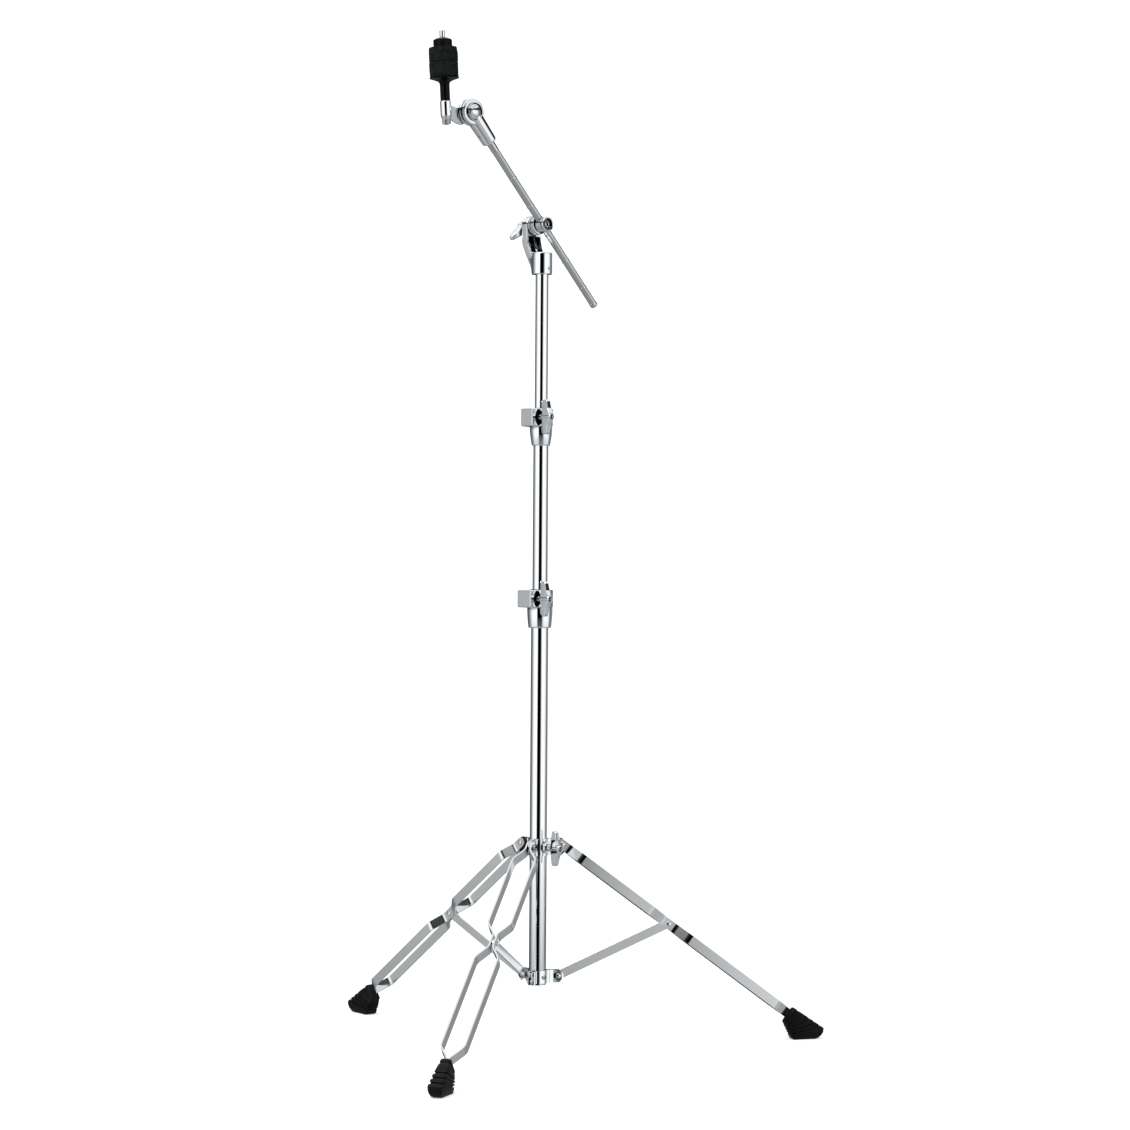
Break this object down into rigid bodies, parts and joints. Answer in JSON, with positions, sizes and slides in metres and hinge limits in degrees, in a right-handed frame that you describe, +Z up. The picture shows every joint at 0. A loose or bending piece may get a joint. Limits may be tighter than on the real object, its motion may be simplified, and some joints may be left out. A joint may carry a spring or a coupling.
{
  "type": "cymbal boom stand",
  "caption": "Folding double-braced tripod stand with a telescoping mast, tilting boom rod, and a tilter with felts and nut that hold a cymbal.",
  "frame": {"origin": "on the floor, at the centre of the whole stand's footprint box; the mast stands behind it on +Y", "axes": "+Z up along the mast, -Y towards the first leg, +X to the right seen from that leg"},
  "size_m": [0.772, 0.6686, 1.4762],
  "materials": {
    "chrome_tube": "polished",
    "cast_chrome": "polished",
    "stamped_steel": "polished",
    "leg_strap": "polished",
    "fastener": "polished",
    "wing_casting": "polished",
    "boom_rod_steel": "satin",
    "black_plastic": "gloss",
    "bushing_plastic": "satin",
    "felt": "matte",
    "foot_rubber": "satin"
  },
  "bodies": {
    "base": {"base_tube": "chrome_tube", "base_tube_plug": "black_plastic", "brace_hub_plate_1": "stamped_steel", "brace_hub_plate_2": "stamped_steel", "brace_hub_plate_3": "stamped_steel", "brace_hub_rivets": "fastener", "brace_hub_screws": "fastener", "lower_clamp_body": "cast_chrome", "lower_clamp_pin": "fastener"},
    "leg_collar": {"leg_collar_plate_1": "stamped_steel", "leg_collar_plate_2": "stamped_steel", "leg_collar_plate_3": "stamped_steel", "leg_collar_rivets": "fastener", "leg_collar_nut": "fastener"},
    "collar_wing": {"leg_collar_wing_bolt": "wing_casting"},
    "leg_1": {"leg_1_strap_a": "leg_strap", "leg_1_strap_b": "leg_strap", "leg_1_rivet": "fastener", "leg_1_foot": "foot_rubber"},
    "brace_1": {"brace_1": "leg_strap"},
    "leg_2": {"leg_2_strap_a": "leg_strap", "leg_2_strap_b": "leg_strap", "leg_2_rivet": "fastener", "leg_2_foot": "foot_rubber"},
    "brace_2": {"brace_2": "leg_strap"},
    "leg_3": {"leg_3_strap_a": "leg_strap", "leg_3_strap_b": "leg_strap", "leg_3_rivet": "fastener", "leg_3_foot": "foot_rubber"},
    "brace_3": {"brace_3": "leg_strap"},
    "lower_swivel": {"lower_bushing": "bushing_plastic"},
    "lower_wing": {"lower_clamp_wing_bolt": "wing_casting"},
    "middle": {"middle_tube": "chrome_tube", "upper_clamp_body": "cast_chrome", "upper_clamp_pin": "fastener"},
    "upper_swivel": {"upper_bushing": "bushing_plastic"},
    "upper_wing": {"upper_clamp_wing_bolt": "wing_casting"},
    "upper": {"upper_tube": "chrome_tube", "boom_bracket": "cast_chrome", "boom_bracket_pin": "fastener", "boom_tilt_disc": "cast_chrome"},
    "boom_wing": {"boom_wing_nut": "wing_casting"},
    "rod_clamp": {"boom_rod_seat": "cast_chrome", "boom_eye_bolt": "cast_chrome"},
    "boom": {"boom_rod": "boom_rod_steel", "boom_end_cap": "boom_rod_steel"},
    "tilter_socket": {"tilter_socket": "cast_chrome", "tilter_socket_pin": "fastener"},
    "tilter_holder": {"tilter_holder": "cast_chrome", "tilter_bolt": "fastener", "cymbal_rod": "fastener", "cymbal_rod_nut": "fastener", "cymbal_seat": "black_plastic", "lower_felt": "felt"},
    "upper_felt": {"upper_felt": "felt"},
    "cymbal_nut": {"cymbal_nut": "black_plastic"}
  },
  "joints": [
    {"name": "collar_slide", "type": "slide", "parent": "base", "child": "leg_collar", "axis": [0, 0, 1], "range_m": [0, 0.19135]},
    {"name": "leg_1_fold", "type": "hinge", "parent": "leg_collar", "child": "leg_1", "pos_m": [0, 0.06978, 0.2987], "axis": [1, 0, 0], "range_deg": [0, 51.91]},
    {"name": "brace_1_fold", "type": "hinge", "parent": "base", "child": "brace_1", "pos_m": [0, 0.07428, 0.1042], "axis": [-1, 0, 0], "range_deg": [0, 63.31]},
    {"name": "leg_2_fold", "type": "hinge", "parent": "leg_collar", "child": "leg_2", "pos_m": [0.03066, 0.12288, 0.2987], "axis": [-0.5, 0.866, 0], "range_deg": [0, 51.91]},
    {"name": "brace_2_fold", "type": "hinge", "parent": "base", "child": "brace_2", "pos_m": [0.02676, 0.12063, 0.1042], "axis": [0.5, -0.866, 0], "range_deg": [0, 63.31]},
    {"name": "leg_3_fold", "type": "hinge", "parent": "leg_collar", "child": "leg_3", "pos_m": [-0.03066, 0.12288, 0.2987], "axis": [-0.5, -0.866, 0], "range_deg": [0, 51.91]},
    {"name": "brace_3_fold", "type": "hinge", "parent": "base", "child": "brace_3", "pos_m": [-0.02676, 0.12063, 0.1042], "axis": [0.5, 0.866, 0], "range_deg": [0, 63.31]},
    {"name": "collar_wing_turn", "type": "hinge", "parent": "leg_collar", "child": "collar_wing", "pos_m": [0, 0.10518, 0.2955], "axis": [0.866, -0.5, 0], "continuous": true},
    {"name": "lower_wing_turn", "type": "hinge", "parent": "base", "child": "lower_wing", "pos_m": [-0.00925, 0.08916, 0.6616], "axis": [0.866, -0.5, 0], "continuous": true},
    {"name": "middle_swivel", "type": "hinge", "parent": "base", "child": "lower_swivel", "pos_m": [0, 0.10518, 0], "axis": [0, 0, 1], "continuous": true},
    {"name": "middle_slide", "type": "slide", "parent": "lower_swivel", "child": "middle", "axis": [0, 0, 1], "range_m": [-0.2, 0.15]},
    {"name": "upper_wing_turn", "type": "hinge", "parent": "middle", "child": "upper_wing", "pos_m": [-0.008, 0.09133, 0.9282], "axis": [0.866, -0.5, 0], "continuous": true},
    {"name": "upper_swivel", "type": "hinge", "parent": "middle", "child": "upper_swivel", "pos_m": [0, 0.10518, 0], "axis": [0, 0, 1], "continuous": true},
    {"name": "upper_slide", "type": "slide", "parent": "upper_swivel", "child": "upper", "axis": [0, 0, 1], "range_m": [-0.18, 0.13]},
    {"name": "boom_tilt", "type": "hinge", "parent": "upper", "child": "rod_clamp", "pos_m": [0, 0.10518, 1.213], "axis": [0.866, -0.5, 0], "range_deg": [-13, 100]},
    {"name": "boom_wing_turn", "type": "hinge", "parent": "rod_clamp", "child": "boom_wing", "pos_m": [0, 0.10518, 1.213], "axis": [0.866, -0.5, 0], "continuous": true},
    {"name": "boom_slide", "type": "slide", "parent": "rod_clamp", "child": "boom", "axis": [-0.341, -0.5906, 0.7314], "range_m": [-0.12, 0.13]},
    {"name": "tilter_swivel", "type": "hinge", "parent": "boom", "child": "tilter_socket", "pos_m": [-0.07025, -0.01649, 1.36366], "axis": [-0.341, -0.5906, 0.7314], "continuous": true},
    {"name": "cymbal_tilt", "type": "hinge", "parent": "tilter_socket", "child": "tilter_holder", "pos_m": [-0.07025, -0.01649, 1.36366], "axis": [0.866, -0.5, 0], "range_deg": [-60, 65]},
    {"name": "felt_lift", "type": "slide", "parent": "tilter_holder", "child": "upper_felt", "axis": [-0.0349, -0.0604, 0.9976], "range_m": [0, 0.02]},
    {"name": "nut_lift", "type": "slide", "parent": "upper_felt", "child": "cymbal_nut", "axis": [-0.0349, -0.0604, 0.9976], "range_m": [0, 0.03]}
  ],
  "couplings": [
    {"joint": "leg_1_fold", "follows": "collar_slide", "rad_per_m": 4.7338},
    {"joint": "brace_1_fold", "follows": "collar_slide", "rad_per_m": 5.7733},
    {"joint": "leg_2_fold", "follows": "collar_slide", "rad_per_m": 4.7338},
    {"joint": "brace_2_fold", "follows": "collar_slide", "rad_per_m": 5.7733},
    {"joint": "leg_3_fold", "follows": "collar_slide", "rad_per_m": 4.7338},
    {"joint": "brace_3_fold", "follows": "collar_slide", "rad_per_m": 5.7733}
  ]
}
